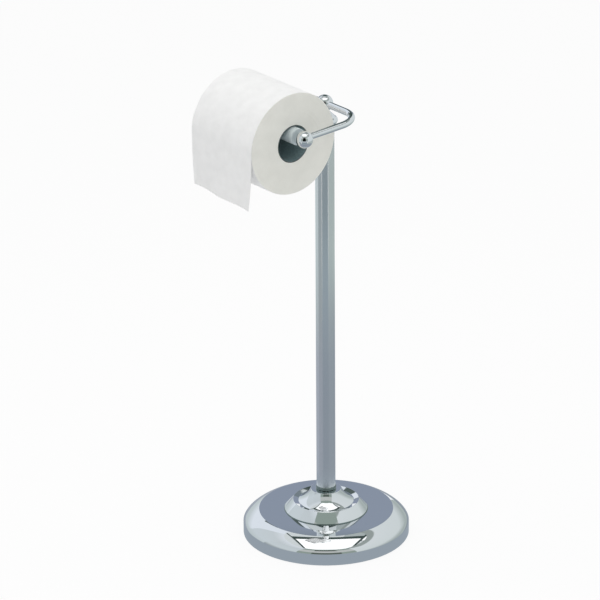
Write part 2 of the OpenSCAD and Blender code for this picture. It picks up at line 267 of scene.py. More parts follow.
def arc_between(start, end, bulge):
    """Points of an arc between two points that bulges to the right of the way from start to end."""
    start, end = np.array(start, float), np.array(end, float)
    chord = np.linalg.norm(end - start)
    way = (end - start) / chord
    side = np.array([way[1], -way[0]])
    turn = math.copysign(1, bulge)
    radius = (chord ** 2 / 4 + bulge ** 2) / (2 * abs(bulge))
    half = math.asin(chord / 2 / radius)
    centre = (start + end) / 2 + side * (bulge - turn * radius)
    return [tuple(centre + way * radius * math.sin(t) + side * turn * radius * math.cos(t))
            for t in np.linspace(-half, half, ARC_STEPS + 1)]


def rounded(corner, back, ahead, radius):
    """Points of a corner that is rounded to a radius. Back and ahead lead from it to its two neighbours."""
    room = CORNER_SHARE * min(np.linalg.norm(back), np.linalg.norm(ahead))
    back = back / np.linalg.norm(back)
    ahead = ahead / np.linalg.norm(ahead)
    inner = math.acos(max(-1.0, min(1.0, float(back @ ahead))))
    reach = min(radius / math.tan(inner / 2), room)
    radius = reach * math.tan(inner / 2)
    middle = back + ahead
    centre = corner + middle / np.linalg.norm(middle) * math.hypot(reach, radius)
    start = corner + back * reach - centre
    end = corner + ahead * reach - centre
    sweep = math.acos(max(-1.0, min(1.0, float(start @ end) / radius ** 2)))
    points = []
    for k in range(CORNER_STEPS + 1):
        t = k / CORNER_STEPS
        spoke = (start * math.sin((1 - t) * sweep) + end * math.sin(t * sweep)) / math.sin(sweep)
        points.append(tuple(centre + spoke))
    return points


def softened(points, corners):
    """A closed outline with the corners at the given places rounded to the given radii."""
    made = []
    for i, point in enumerate(points):
        if i not in corners:
            made.append(tuple(point))
            continue
        corner = np.array(point, float)
        back = np.array(points[i - 1], float) - corner
        ahead = np.array(points[(i + 1) % len(points)], float) - corner
        made += rounded(corner, back, ahead, corners[i])
    return made


def held(points):
    """The same closed outline with extra points near the ends of its long stretches, which hold them flat."""
    made = []
    for i, point in enumerate(points):
        here = np.array(point, float)
        there = np.array(points[(i + 1) % len(points)], float)
        length = np.linalg.norm(there - here)
        made.append(tuple(here))
        if length > HOLD_LEAST:
            way = (there - here) / length
            made.append(tuple(here + way * HOLD_GAP))
            made.append(tuple(there - way * HOLD_GAP))
    return made


# Meshes

def add_object(name, data):
    """A new object of the scene."""
    obj = bpy.data.objects.new(name, data)
    bpy.context.scene.collection.objects.link(obj)
    return obj


def mesh_object(name, points, faces, smooth=True):
    """A new mesh object in the scene, with smooth or flat shading."""
    mesh = bpy.data.meshes.new(name)
    mesh.from_pydata([tuple(p) for p in points], [], faces)
    mesh.validate()
    if smooth:
        mesh.shade_smooth()
    return add_object(name, mesh)


def grid_faces(rows, columns, close_rows, close_columns):
    """Quads of a grid of points that is kept row by row."""
    last_row = rows if close_rows else rows - 1
    last_column = columns if close_columns else columns - 1
    return [(i * columns + j, i * columns + (j + 1) % columns,
             (i + 1) % rows * columns + (j + 1) % columns, (i + 1) % rows * columns + j)
            for i in range(last_row) for j in range(last_column)]


def tube_faces(rings, steps):
    """Faces of a bar that is kept ring by ring, with its two flat ends."""
    last = (rings - 1) * steps
    return [*grid_faces(rings, steps, False, True), tuple(range(steps - 1, -1, -1)),
            tuple(range(last, last + steps))]


def ring_points(outline, origin, axis, steps):
    """Points of the rings that an outline of (radius, place along the axis) draws round the axis."""
    axis = Vector(axis).normalized()
    side = axis.orthogonal().normalized()
    other = axis.cross(side)
    angles = [2 * math.pi * k / steps for k in range(steps)]
    return [Vector(origin) + axis * along + (side * math.cos(t) + other * math.sin(t)) * radius
            for radius, along in outline for t in angles]


def turned(name, outline, origin, axis, steps=TURN_STEPS):
    """A solid that is turned from a closed outline of (radius, place along the axis), counter-clockwise."""
    points = ring_points(outline, origin, axis, steps)
    return mesh_object(name, points, grid_faces(len(outline), steps, True, True))


def turned_solid(name, outline, origin, axis, steps=ROD_STEPS):
    """A solid that is turned from an open outline, whose first and last points lie on the axis."""
    points = ring_points(outline[1:-1], origin, axis, steps)
    first = len(points)
    last_ring = first - steps
    way = Vector(axis).normalized()
    points += [Vector(origin) + way * along for _, along in (outline[0], outline[-1])]
    faces = grid_faces(len(outline) - 2, steps, False, True)
    faces += [(first, (k + 1) % steps, k) for k in range(steps)]
    faces += [(last_ring + k, last_ring + (k + 1) % steps, first + 1) for k in range(steps)]
    return mesh_object(name, points, faces)


def swept(name, path, radius, flat, steps):
    """A round bar along a path that lies in one plane, whose normal is flat, with flat ends."""
    points = []
    for i, point in enumerate(path):
        ahead = path[min(i + 1, len(path) - 1)] - path[max(i - 1, 0)]
        side = ahead.normalized().cross(flat)
        for k in range(steps):
            t = 2 * math.pi * k / steps
            points.append(point + (flat * math.sin(t) + side * math.cos(t)) * radius)
    return mesh_object(name, points, tube_faces(len(path), steps))


def cut_round(obj, origin, axis, radius, length):
    """Bores a round hole in a piece."""
    cutter = turned_solid("cutter", [(0, 0), (radius, 0), (radius, length), (0, length)], origin, axis)
    cut = obj.modifiers.new("bore", "BOOLEAN")
    cut.operation = "DIFFERENCE"
    cut.solver = "EXACT"
    cut.object = cutter
    baked = bpy.data.meshes.new_from_object(obj.evaluated_get(bpy.context.evaluated_depsgraph_get()))
    obj.modifiers.clear()
    obj.data = baked
    bpy.data.objects.remove(cutter)


def finish_piece(obj, material, body, slot, *nodes):
    """Gives a piece its material, its body and the CAD nodes that it stands for. Its slot is not used."""
    obj.data.materials.clear()
    obj.data.materials.append(material)
    obj.data.set_sharp_from_angle(angle=SHARP_ANGLE)
    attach(obj, body)
    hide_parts(*nodes)


def mark_faces(obj, material, picked):
    """Gives a piece a second material, on the picked faces."""
    obj.data.materials.append(material)
    for face in obj.data.polygons:
        if picked(face):
            face.material_index = 1


# Materials

class Nodes:
    """Adds and joins the nodes of one material or world."""

    def __init__(self, owner):
        owner.use_nodes = True
        self.tree = owner.node_tree

    def add(self, kind, values=None, **settings):
        """A new node, with values on its sockets and its own settings."""
        node = self.tree.nodes.new(kind)
        for key, value in (values or {}).items():
            node.inputs[key].default_value = value
        for key, value in settings.items():
            setattr(node, key, value)
        return node

    def join(self, start, end):
        """Links a socket to another."""
        self.tree.links.new(start, end)

    def noise(self, vector, scale, detail, roughness=0.5):
        """Fractal noise about 0.5."""
        node = self.add("ShaderNodeTexNoise", {"Scale": scale, "Detail": detail, "Roughness": roughness})
        self.join(vector, node.inputs["Vector"])
        return node.outputs["Fac"]

    def spread(self, value, low, high, new_low, new_high):
        """A value whose range from low to high becomes another range."""
        ends = {"From Min": low, "From Max": high, "To Min": new_low, "To Max": new_high}
        node = self.add("ShaderNodeMapRange", ends)
        self.join(value, node.inputs["Value"])
        return node.outputs["Result"]

    def stretched(self, scale=(1, 1, 1)):
        """Object coordinates, scaled along each axis."""
        place = self.add("ShaderNodeTexCoord")
        mapping = self.add("ShaderNodeMapping", {"Scale": scale})
        self.join(place.outputs["Object"], mapping.inputs["Vector"])
        return mapping.outputs["Vector"]

    def seen(self):
        """1 for the rays of the camera, of gloss and of glass, and 0 for the light on the object."""
        path = self.add("ShaderNodeLightPath")
        total = path.outputs["Is Camera Ray"]
        for kind in ("Is Glossy Ray", "Is Transmission Ray"):
            more = self.add("ShaderNodeMath", operation="MAXIMUM")
            self.join(total, more.inputs[0])
            self.join(path.outputs[kind], more.inputs[1])
            total = more.outputs["Value"]
        return total

    def bump(self, height, strength, distance, normal=None):
        """Normals of a fine relief, on those of a coarser one where it is given."""
        node = self.add("ShaderNodeBump", {"Strength": strength, "Distance": distance})
        self.join(height, node.inputs["Height"])
        if normal is not None:
            self.join(normal, node.inputs["Normal"])
        return node.outputs["Normal"]

    def ramp(self, value, stops):
        """Colours that follow a value through stops of (place, colour)."""
        node = self.add("ShaderNodeValToRGB")
        elements = node.color_ramp.elements
        for i, (place, colour) in enumerate(stops):
            element = elements[i] if i < 2 else elements.new(place)
            element.position = place
            element.color = (*colour, 1)
        self.join(value, node.inputs["Fac"])
        return node.outputs["Color"]


def new_material(name, values):
    """A new material, with values on its shader, and the helper and shader for the rest of its nodes."""
    material = bpy.data.materials.new(name)
    n = Nodes(material)
    shader = n.tree.nodes["Principled BSDF"]
    for key, value in values.items():
        shader.inputs[key].default_value = value
    return material, n, shader


def metal(name, colour, smooth, rough, grain, lines):
    """Plated metal: roughness that changes in smudges, and fine polishing marks along the grain."""
    material, n, shader = new_material(name, {"Base Color": (*colour, 1), "Metallic": 1})
    smudge = n.noise(n.stretched(), scale=38, detail=5, roughness=0.62)
    marks = n.noise(n.stretched(grain), scale=900, detail=2)
    n.join(n.spread(smudge, 0.35, 0.75, smooth, rough), shader.inputs["Roughness"])
    n.join(n.bump(marks, strength=lines, distance=0.02 * MM), shader.inputs["Normal"])
    return material


def casting():
    """Rough grey iron of the weight in the foot."""
    material, n, shader = new_material("iron", {"Metallic": 0.6})
    grain = n.noise(n.stretched(), scale=450, detail=6, roughness=0.7)
    tones = [(0.3, (0.05, 0.05, 0.055)), (0.7, (0.16, 0.155, 0.15))]
    n.join(n.ramp(grain, tones), shader.inputs["Base Color"])
    n.join(n.spread(grain, 0.3, 0.7, 0.55, 0.8), shader.inputs["Roughness"])
    n.join(n.bump(grain, strength=0.6, distance=0.4 * MM), shader.inputs["Normal"])
    return material


def foam():
    """Dark closed-cell pad under the foot."""
    material, n, shader = new_material("foam", {"Roughness": 0.85})
    cells = n.add("ShaderNodeTexVoronoi", {"Scale": 1400})
    n.join(n.stretched(), cells.inputs["Vector"])
    tones = [(0, (0.012, 0.012, 0.013)), (0.8, (0.05, 0.05, 0.052))]
    n.join(n.ramp(cells.outputs["Distance"], tones), shader.inputs["Base Color"])
    n.join(n.bump(cells.outputs["Distance"], strength=0.7, distance=0.3 * MM), shader.inputs["Normal"])
    return material


def satin():
    """Pale satin plating of the roller, with faint turned bands."""
    material, n, shader = new_material("satin_plate", {"Metallic": 0.3})
    bands = n.noise(n.stretched((1, 0.02, 0.02)), scale=320, detail=3, roughness=0.6)
    tones = [(0.35, (0.58, 0.65, 0.67)), (0.65, (0.68, 0.75, 0.77))]
    n.join(n.ramp(bands, tones), shader.inputs["Base Color"])
    n.join(n.spread(bands, 0.35, 0.65, 0.38, 0.5), shader.inputs["Roughness"])
    n.join(n.bump(bands, strength=0.15, distance=0.05 * MM), shader.inputs["Normal"])
    return material


def board(name, low, high):
    """Grey wound board of the core, with its fibres."""
    material, n, shader = new_material(name, {"Roughness": 0.8})
    fibre = n.noise(n.stretched((0.5, 1, 1)), scale=800, detail=5, roughness=0.6)
    n.join(n.ramp(fibre, [(0.3, low), (0.7, high)]), shader.inputs["Base Color"])
    n.join(n.bump(fibre, strength=0.3, distance=0.2 * MM), shader.inputs["Normal"])
    return material


def tissue(name, low, high, mottle):
    """Soft paper: clouding whose scale is mottle, felted fibres and fine creping across the sheet."""
    values = {"Roughness": 0.95, "Specular IOR Level": 0.2, "Sheen Weight": 0.08}
    material, n, shader = new_material(name, values)
    cloud = n.noise(n.stretched(), scale=mottle, detail=4, roughness=0.55)
    fibre = n.noise(n.stretched((0.35, 1, 1)), scale=1500, detail=3, roughness=0.6)
    n.join(n.ramp(cloud, [(0.3, low), (0.7, high)]), shader.inputs["Base Color"])
    coarse = n.bump(cloud, strength=0.25, distance=0.6 * MM)
    n.join(n.bump(fibre, strength=0.25, distance=0.1 * MM, normal=coarse), shader.inputs["Normal"])
    return material


PLATED = (0.82, 0.84, 0.85)
chrome = metal("chrome", PLATED, smooth=0.025, rough=0.06, grain=(1, 1, 1), lines=0.02)
chrome_post = metal("chrome_post", PLATED, smooth=0.17, rough=0.21, grain=(1, 1, 0.01), lines=0.05)
chrome_bar = metal("chrome_bar", PLATED, smooth=0.03, rough=0.07, grain=(0.02, 0.02, 1), lines=0.03)
# Dark chrome of the collar and of the bell's lip: painted shade of their grooves and gaps, and on the collar
# a painted dark reflection
chrome_painted_shade = metal("chrome_painted_shade", (0.20, 0.25, 0.245), smooth=0.05, rough=0.1, grain=(1, 1, 1), lines=0.03)
zinc = metal("zinc_steel", (0.62, 0.63, 0.65), smooth=0.25, rough=0.4, grain=(1, 1, 0.1), lines=0.3)
plating = satin()
core_board = board("board", (0.19, 0.27, 0.285), (0.29, 0.405, 0.42))
# Near-black board of the core's cut ends: painted shade at the rim of the roll's hole
core_edge_painted_shade = board("board_edge_painted_shade", (0.04, 0.055, 0.055), (0.08, 0.10, 0.10))
paper_side = tissue("paper_side", (0.90, 0.90, 0.90), (0.95, 0.95, 0.95), mottle=95)
# Paper of the roll's faces: its own warmer tone, made darker than the side by painted shade of the gaps
# between the layers
paper_face_tone_and_shade = tissue("paper_face_tone_and_shade", (0.855, 0.855, 0.80), (0.905, 0.905, 0.85), mottle=60)


# Plated parts of the stand

def make_foot():
    """Pressed shell of the foot: rim, bulging shoulder, flat plate, and the same again a wall further in."""
    wall = SHELL_WALL
    turn = (RIM_TURN_R, RIM_TURN_Z)
    shoulder = arc_between((BASE_R, RIM_H), turn, RIM_TURN_BULGE)
    shoulder += arc_between(turn, (PLATE_R, PLATE_Z), SHOULDER_BULGE)[1:]
    inner = arc_between((BASE_R - wall, RIM_H - INNER_RIM_SHARE * wall),
                        (PLATE_R - INNER_PLATE_SHARE * wall, PLATE_Z - wall), INNER_BULGE)
    outline = [(BASE_R - wall, RIM_LOW), (BASE_R, RIM_LOW), *shoulder, (STUD_HOLE_R, PLATE_Z),
               (STUD_HOLE_R, PLATE_Z - wall), *reversed(inner)]
    corners = {0: FINE_R, 1: FINE_R, 2: SOFT_R, 2 + 2 * ARC_STEPS: SOFT_R}
    obj = turned("foot_shell", held(softened(outline, corners)), (0, 0, 0), (0, 0, 1))
    finish_piece(obj, chrome, "stand", "chrome", "base_shell")


def bell_profile(wall):
    """The bell's lower tier and flared cone, drawn in by a wall."""
    bottom = (BELL_R - wall, PLATE_Z)
    top = (TIER_TOP_R - wall / 2, PLATE_Z + TIER_H - wall)
    crease = (CREASE_R - wall / 2, PLATE_Z + TIER_H - CREASE_DROP - wall)
    land = (CONE_TOP_R - wall / 2, BELL_TOP - wall)
    tier = arc_between(bottom, top, TIER_BULGE_SHARE * math.dist(bottom, top))
    cone = arc_between(crease, land, -CONE_DIP_SHARE * math.dist(crease, land))
    return tier + cone


def make_bell():
    """Two-tier cover between the foot and the post, with painted shade on the lip at its foot."""
    outer = bell_profile(0)
    inner = bell_profile(BELL_WALL)
    outline = [*outer, (STUD_HOLE_R, BELL_TOP), (STUD_HOLE_R, PLATE_Z), (BELL_BOSS_R, PLATE_Z),
               (BELL_BOSS_R, BELL_TOP - BELL_WALL), *reversed(inner)]
    last = len(outer) - 1
    corners = {0: 2 * SOFT_R, ARC_STEPS: SOFT_R, ARC_STEPS + 1: SOFT_R, last: SOFT_R}
    obj = turned("bell", held(softened(outline, corners)), (0, 0, 0), (0, 0, 1))
    finish_piece(obj, chrome, "stand", "chrome", "bell_cover")
    # The lowest faces take the dark chrome: painted shade of the gap where the bell meets the plate
    mark_faces(obj, chrome_painted_shade, lambda face: face.center.z < PLATE_Z + BELL_LIP)


def make_collar():
    """Round ring at the post's foot, with a groove above and below it, in dark chrome that paints the shade
    and dark reflections of its grooves.
    """
    waist = COLLAR_WAIST_SHARE * COLLAR_R
    ring = arc_between((waist, BELL_TOP), (waist, POST_LOW), COLLAR_R - waist)
    outline = [(STUD_HOLE_R, BELL_TOP), *ring, (STUD_HOLE_R, POST_LOW)]
    obj = turned("collar", held(outline), (0, 0, 0), (0, 0, 1))
    # The whole collar takes the dark chrome: painted shade and painted dark reflection of its grooves
    finish_piece(obj, chrome_painted_shade, "stand", "chrome", "foot_collar")


def make_post():
    """Straight tube with its two cut ends."""
    bore = POST_R - POST_WALL
    outline = [(bore, POST_LOW), (POST_R, POST_LOW), (POST_R, POST_TOP), (bore, POST_TOP)]
    corners = dict.fromkeys(range(4), FINE_R)
    obj = turned("post", held(softened(outline, corners)), (0, 0, 0), (0, 0, 1), ROD_STEPS * 2)
    finish_piece(obj, chrome_post, "stand", "chrome", "post_tube")


def make_cap():
    """Flared cap with its round bead, hollow in the tube and a neck under the ball."""
    height = CAP_TOP - POST_TOP
    bead = (CAP_R, POST_TOP + CAP_BEAD_SHARE * height)
    head = (CAP_CONE_R_SHARE * CAP_R, POST_TOP + CAP_CONE_SHARE * height)
    spigot = POST_R - POST_WALL - FIT
    foot = (POST_R + CAP_FOOT_OUT, POST_TOP)
    below = arc_between(foot, bead, CAP_BEAD_BULGE_SHARE * (bead[1] - foot[1]))
    above = arc_between(bead, head, CAP_BEAD_BULGE_SHARE * (head[1] - bead[1]))
    outline = [(TIP_R + FIT, CAP_LOW), (spigot, CAP_LOW), (spigot, POST_TOP), *below, *above[1:],
               (CAP_NECK_R, CAP_TOP), (TIP_R + FIT, CAP_TOP)]
    first = 3 + ARC_STEPS
    corners = {3: FINE_R, first: SOFT_R, first + ARC_STEPS: FINE_R}
    obj = turned("cap", held(softened(outline, corners)), (0, 0, 0), (0, 0, 1))
    finish_piece(obj, chrome, "stand", "chrome", "top_cap")


def ball_outline(stop=math.pi / 2):
    """A ball about 0, from one end of its axis up to an angle above its middle."""
    angles = np.linspace(-math.pi / 2, stop, 3 * ARC_STEPS)
    ball = [(BALL_R * math.cos(t), BALL_R * math.sin(t)) for t in angles]
    ball[0] = (0, -BALL_R)
    return ball


def make_hub():
    """Ball on the cap, with a short neck, bored for the bar."""
    neck_start = math.sqrt(BALL_R ** 2 - NECK_R ** 2)
    outline = [*ball_outline(math.atan2(neck_start, NECK_R)), (NECK_R, BALL_R - FINE_R),
               (NECK_R - FINE_R, BALL_R), (0, BALL_R)]
    obj = turned_solid("hub", outline, HUB, (0, 0, -1), TURN_STEPS // 2)
    cut_round(obj, HUB - ACROSS * 2 * BALL_R, ACROSS, ROD_R + FIT, 4 * BALL_R)
    finish_piece(obj, chrome, "stand", "chrome", "hub_ball")


def make_end_ball(name, side, node):
    """Ball on the end of a leg, bored for the leg, with a socket for the roller's tip."""
    centre = ROLLER + ACROSS * side * LEG_X
    outline = ball_outline()
    outline[-1] = (0, BALL_R)
    obj = turned_solid(name, outline, centre, ACROSS, TURN_STEPS // 2)
    cut_round(obj, ROLLER, ACROSS * side, TIP_R + TIP_CLEAR, LEG_X - BALL_R + SOCKET_DEPTH)
    bore_start = centre + LEG_UP * BALL_DROP - LEG * 2 * BALL_R
    cut_round(obj, bore_start, LEG, ROD_R + FIT, 2 * BALL_R - TIP_R - LEG_END_GAP)
    finish_piece(obj, chrome, "stand", "chrome", node)


def make_bar():
    """Round bar bent into a C, along its middle line from one end ball to the other."""
    leg_end = LEG_REACH - TIP_R - LEG_END_GAP
    back = LEG_X - BEND_R
    path = [HUB + ACROSS * LEG_X + LEG * d for d in np.linspace(leg_end, BEND_R, LEG_STEPS, endpoint=False)]
    for t in np.linspace(0, math.pi / 2, BEND_STEPS + 1):
        path.append(HUB + ACROSS * (back + BEND_R * math.cos(t)) + LEG * (BEND_R - BEND_R * math.sin(t)))
    path += [HUB + ACROSS * x for x in np.linspace(back, 0, BACK_STEPS + 1)[1:]]
    mirror = Matrix.Diagonal((-1, 1, 1))
    path += [mirror @ p for p in reversed(path[:-1])]
    obj = swept("bar", path, ROD_R, -LEG_UP, 2 * ROD_STEPS)
    finish_piece(obj, chrome_bar, "stand", "chrome", "holder_bar")


# Roller

def add_barrel(name, outline, corners, body, node):
    """A barrel that is turned about the roller's axis."""
    obj = turned(name, held(softened(outline, corners)), (0, ROLLER.y, ROLLER.z), ACROSS, 2 * ROD_STEPS)
    finish_piece(obj, plating, body, "satin_plate", node)


def make_sleeve():
    """Thicker barrel of the roller, with its mouth turned in."""
    outer_r, start, end = barrel_size("roller_outer_barrel")
    bore = outer_r - BARREL_WALL
    mouth = bore - BARREL_GAP + FIT
    crimp = start + CRIMP_L
    outline = [(mouth, start), (outer_r, start), (outer_r, end), (bore, end), (bore, crimp), (mouth, crimp)]
    corners = {0: FINE_R, 1: SOFT_R, 2: FINE_R}
    add_barrel("roller_sleeve_barrel", outline, corners, "roller_sleeve", "roller_outer_barrel")


def make_plunger():
    """Thinner barrel of the roller, with the guide ring that the sleeve's mouth holds in."""
    ring_r, start, end = barrel_size("roller_inner_barrel")
    outer_r = barrel_size("roller_outer_barrel")[0] - BARREL_WALL - BARREL_GAP
    bore = outer_r - BARREL_WALL
    ring = end - 2 * BARREL_WALL
    outline = [(bore, start), (outer_r, start), (outer_r, ring), (ring_r, ring), (ring_r, end), (bore, end)]
    corners = {1: FINE_R, 3: FINE_R, 4: FINE_R}
    add_barrel("roller_plunger_barrel", outline, corners, "roller_plunger", "roller_inner_barrel")


def make_tip(name, side, body, node):
    """End piece of the roller: plug, flange, small nose and tip pin."""
    low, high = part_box(node)
    outer_r = (high.z - low.z) / 2
    plug_r = outer_r - BARREL_WALL - FIT
    start = -high.x if side < 0 else low.x
    end = -low.x if side < 0 else high.x
    flange = start + PLUG_L
    face = flange + FLANGE_T
    nose_r = (outer_r + TIP_R) / 2
    outline = [(0, start), (plug_r, start), (plug_r, flange - FINE_R), (plug_r, flange),
               (outer_r - FINE_R, flange), (outer_r, flange + FINE_R), (outer_r, face - FINE_R),
               (outer_r - FINE_R, face), (nose_r, face), (TIP_R, face + NOSE_L), (TIP_R, end - FINE_R),
               (TIP_R - FINE_R, end), (0, end)]
    obj = turned_solid(name, outline, (0, ROLLER.y, ROLLER.z), ACROSS * side)
    finish_piece(obj, plating, body, "satin_plate", node)


def make_spring():
    """Helical spring inside the roller."""
    low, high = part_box("roller_spring")
    coil_r = (high.z - low.z) / 2 - WIRE_R
    rings = SPRING_TURNS * COIL_STEPS
    start, end = low.x + WIRE_R, high.x - WIRE_R
    points = []
    for i in range(rings + 1):
        turn = 2 * math.pi * i / COIL_STEPS
        x = start + (end - start) * i / rings
        for k in range(WIRE_STEPS):
            angle = 2 * math.pi * k / WIRE_STEPS
            reach = coil_r + WIRE_R * math.cos(angle)
            points.append((x + WIRE_R * math.sin(angle), ROLLER.y + reach * math.cos(turn),
                           ROLLER.z + reach * math.sin(turn)))
    obj = mesh_object("spring", points, tube_faces(rings + 1, WIRE_STEPS))
    finish_piece(obj, zinc, "roller_sleeve", "zinc_steel", "roller_spring")
    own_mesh(obj)


# Paper

def make_core():
    """Board tube of the roll, with soft cut ends darkened by painted shade."""
    low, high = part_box("cardboard_core")
    outer = (high.z - low.z) / 2
    bore = outer - CORE_WALL
    outline = [(bore, low.x), (outer, low.x), (outer, high.x), (bore, high.x)]
    corners = dict.fromkeys(range(4), FINE_R)
    obj = turned("core", held(softened(outline, corners)), (0, CORE.y, CORE.z), ACROSS)
    finish_piece(obj, core_board, "roll", "cardboard", "cardboard_core")
    # The faces of the cut ends take the near-black board: painted shade
    mark_faces(obj, core_edge_painted_shade, lambda face: abs(face.normal.x) > FACE_ON)


def roll_outline(bore, outer, low, high):
    """The roll's outline as (radius, X): a face, a soft edge, the side, a soft edge and the other face."""
    face_r = outer - ROLL_EDGE
    start, end = low + ROLL_EDGE, high - ROLL_EDGE
    radii = np.linspace(bore, face_r, FACE_STEPS + 1)
    angles = np.linspace(0, math.pi / 2, EDGE_STEPS + 1)[1:]
    outline = [(r, low) for r in radii]
    outline += [(face_r + ROLL_EDGE * math.sin(t), start - ROLL_EDGE * math.cos(t)) for t in angles]
    outline += [(outer, x) for x in np.linspace(start, end, SIDE_STEPS + 1)[1:]]
    outline += [(face_r + ROLL_EDGE * math.cos(t), end + ROLL_EDGE * math.sin(t)) for t in angles]
    outline += [(r, high) for r in radii[-2::-1]]
    return outline


def layer_waves():
    """Waves that make the layers on the roll's faces: width, phase and turns of the spiral."""
    rng = np.random.default_rng(RING_SEED)
    return [(rng.uniform(RING_LEAST, RING_MOST) * MM, rng.uniform(0, 2 * math.pi),
             rng.integers(0, RING_TURNS + 1)) for _ in range(RING_WAVES)]


def make_roll():
    """Wound paper: soft outer edges, faces whose layers stand a little in and out along a spiral."""
    low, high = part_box("paper_roll")
    outer = (high.z - low.z) / 2 + ROLL_FLUFF
    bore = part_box("cardboard_core")[1].z - CORE.z + FIT
    outline = roll_outline(bore, outer, low.x, high.x)
    waves = layer_waves()
    points = []
    for radius, x in outline:
        depth = min((outer - radius) / ROLL_EDGE, 1)
        side = 1 if x <= low.x + ROLL_EDGE else (-1 if x >= high.x - ROLL_EDGE else 0)
        for k in range(TURN_STEPS):
            t = 2 * math.pi * k / TURN_STEPS
            wave = sum(math.sin(2 * math.pi * radius / width + phase + turns * t)
                       for width, phase, turns in waves)
            inward = side * RING_DEPTH * depth * (wave + RING_BASE)
            dent = 1 + math.sin(3 * t + DENT_PHASE) / 2 + math.sin(5 * t + DENT_SLANT * x) / 2
            reach = radius - ROLL_DENT * dent if depth < 1 else radius
            points.append((x + inward, CORE.y + reach * math.cos(t), CORE.z + reach * math.sin(t)))
    obj = mesh_object("roll", points, grid_faces(len(outline), TURN_STEPS, True, True))
    finish_piece(obj, paper_side, "roll", "paper", "paper_roll")
    # The faces take the darker paper: painted shade between the layers, on top of the paper's warmer tone
    mark_faces(obj, paper_face_tone_and_shade, lambda face: abs(face.normal.x) > FACE_ON)


def make_sheet():
    """Sheet that lies on the roll's side and hangs from it, with soft folds towards its lower edge."""
    low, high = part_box("paper_tail")
    roll_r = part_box("paper_roll")[1].z - CORE.z
    drop = CORE.z - low.z
    radius = roll_r + ROLL_FLUFF + ROLL_CLEAR
    wrap_l = radius * SHEET_WRAP
    width = high.x - low.x
    points = []
    for i in range(SHEET_ROWS + 1):
        down = i / SHEET_ROWS * (wrap_l + drop)
        for j in range(SHEET_COLUMNS + 1):
            share = j / SHEET_COLUMNS
            if down < wrap_l:
                angle = SHEET_WRAP * (1 - down / wrap_l)
                sunk = radius - SHEET_SINK * (angle / SHEET_WRAP) ** 2
                y, z = -sunk * math.cos(angle), sunk * math.sin(angle)
            else:
                hang = down - wrap_l
                swing = (hang / drop) ** 2
                fold = SHEET_FOLD * math.sin(2 * math.pi * SHEET_WAVES * share)
                sway = (SHEET_IN * (1 - share) - SHEET_OUT * share + fold * swing) * swing
                y, z = -radius + sway, -hang
            points.append((low.x + width * share, CORE.y + y, CORE.z + z))
    obj = mesh_object("sheet", points, grid_faces(SHEET_ROWS + 1, SHEET_COLUMNS + 1, False, False))
    thick = obj.modifiers.new("thickness", "SOLIDIFY")
    thick.thickness = SHEET_T
    thick.offset = 0
    finish_piece(obj, paper_side, "stand", "paper", "paper_tail")


# Studio

def add_camera():
    """The photograph's camera."""
    data = bpy.data.cameras.new("camera")
    data.lens = LENS
    data.sensor_width = SENSOR
    data.clip_start = CLIP_NEAR
    data.clip_end = CLIP_FAR
    camera = add_object("camera", data)
    back = Vector((math.sin(AZIMUTH) * math.cos(ELEVATION), -math.cos(AZIMUTH) * math.cos(ELEVATION),
                   math.sin(ELEVATION)))
    turn = back.to_track_quat("Z", "Y").to_matrix() @ Matrix.Rotation(ROLL, 3, "Z")
    camera.matrix_world = Matrix.Translation(AIM + back * DISTANCE) @ turn.to_4x4()
    bpy.context.scene.camera = camera


def add_world():
    """White behind the object, as the camera and the metal see it, and a soft light on everything else."""
    world = bpy.data.worlds.new("studio")
    bpy.context.scene.world = world
    n = Nodes(world)
    output = n.tree.nodes["World Output"]
    backdrop = n.tree.nodes["Background"]
    backdrop.inputs["Color"].default_value = (1, 1, 1, 1)
    backdrop.inputs["Strength"].default_value = 1
    light = n.add("ShaderNodeBackground", {"Color": AMBIENT_COLOUR, "Strength": AMBIENT})
    mix = n.add("ShaderNodeMixShader")
    n.join(n.seen(), mix.inputs["Fac"])
    n.join(light.outputs["Background"], mix.inputs[1])
    n.join(backdrop.outputs["Background"], mix.inputs[2])
    n.join(mix.outputs["Shader"], output.inputs["Surface"])


def add_lamp(name, way, height, distance, size, watts, colour):
    """Square soft lamp in a direction from the camera's own, aimed at the roll. The metal doesn't show it."""
    data = bpy.data.lights.new(name, "AREA")
    data.shape = "SQUARE"
    data.size = size
    data.energy = watts
    data.color = colour
    lamp = add_object(name, data)
    place = studio(distance, way, height)
    turn = (place - CORE).to_track_quat("Z", "Y").to_matrix()
    lamp.matrix_world = Matrix.Translation(place) @ turn.to_4x4()
    lamp.visible_glossy = False
    lamp.visible_camera = False


def add_floor():
    """Pale floor, white to the camera and the metal but for the object's soft shadow."""
    corners = [(x * FLOOR_REACH, y * FLOOR_REACH, 0) for x, y in ((-1, -1), (1, -1), (1, 1), (-1, 1))]
    obj = mesh_object("floor", corners, [(0, 1, 2, 3)], smooth=False)
    material, n, shader = new_material("floor", {"Base Color": (0.97, 0.97, 0.97, 1), "Roughness": 0.9})
    white = n.add("ShaderNodeEmission")
    share = n.add("ShaderNodeMath", {1: FLOOR_WHITE}, operation="MULTIPLY")
    mix = n.add("ShaderNodeMixShader")
    n.join(n.seen(), share.inputs[0])
    n.join(share.outputs["Value"], mix.inputs["Fac"])
    n.join(shader.outputs["BSDF"], mix.inputs[1])
    n.join(white.outputs["Emission"], mix.inputs[2])
    n.join(mix.outputs["Shader"], n.tree.nodes["Material Output"].inputs["Surface"])
    obj.data.materials.append(material)


def studio(distance, way, height):
    """A point of the studio: distance from the post, direction to the right of the camera's, and height."""
    turn = AZIMUTH + math.radians(way)
    return Vector((distance * math.sin(turn), -distance * math.cos(turn), height))


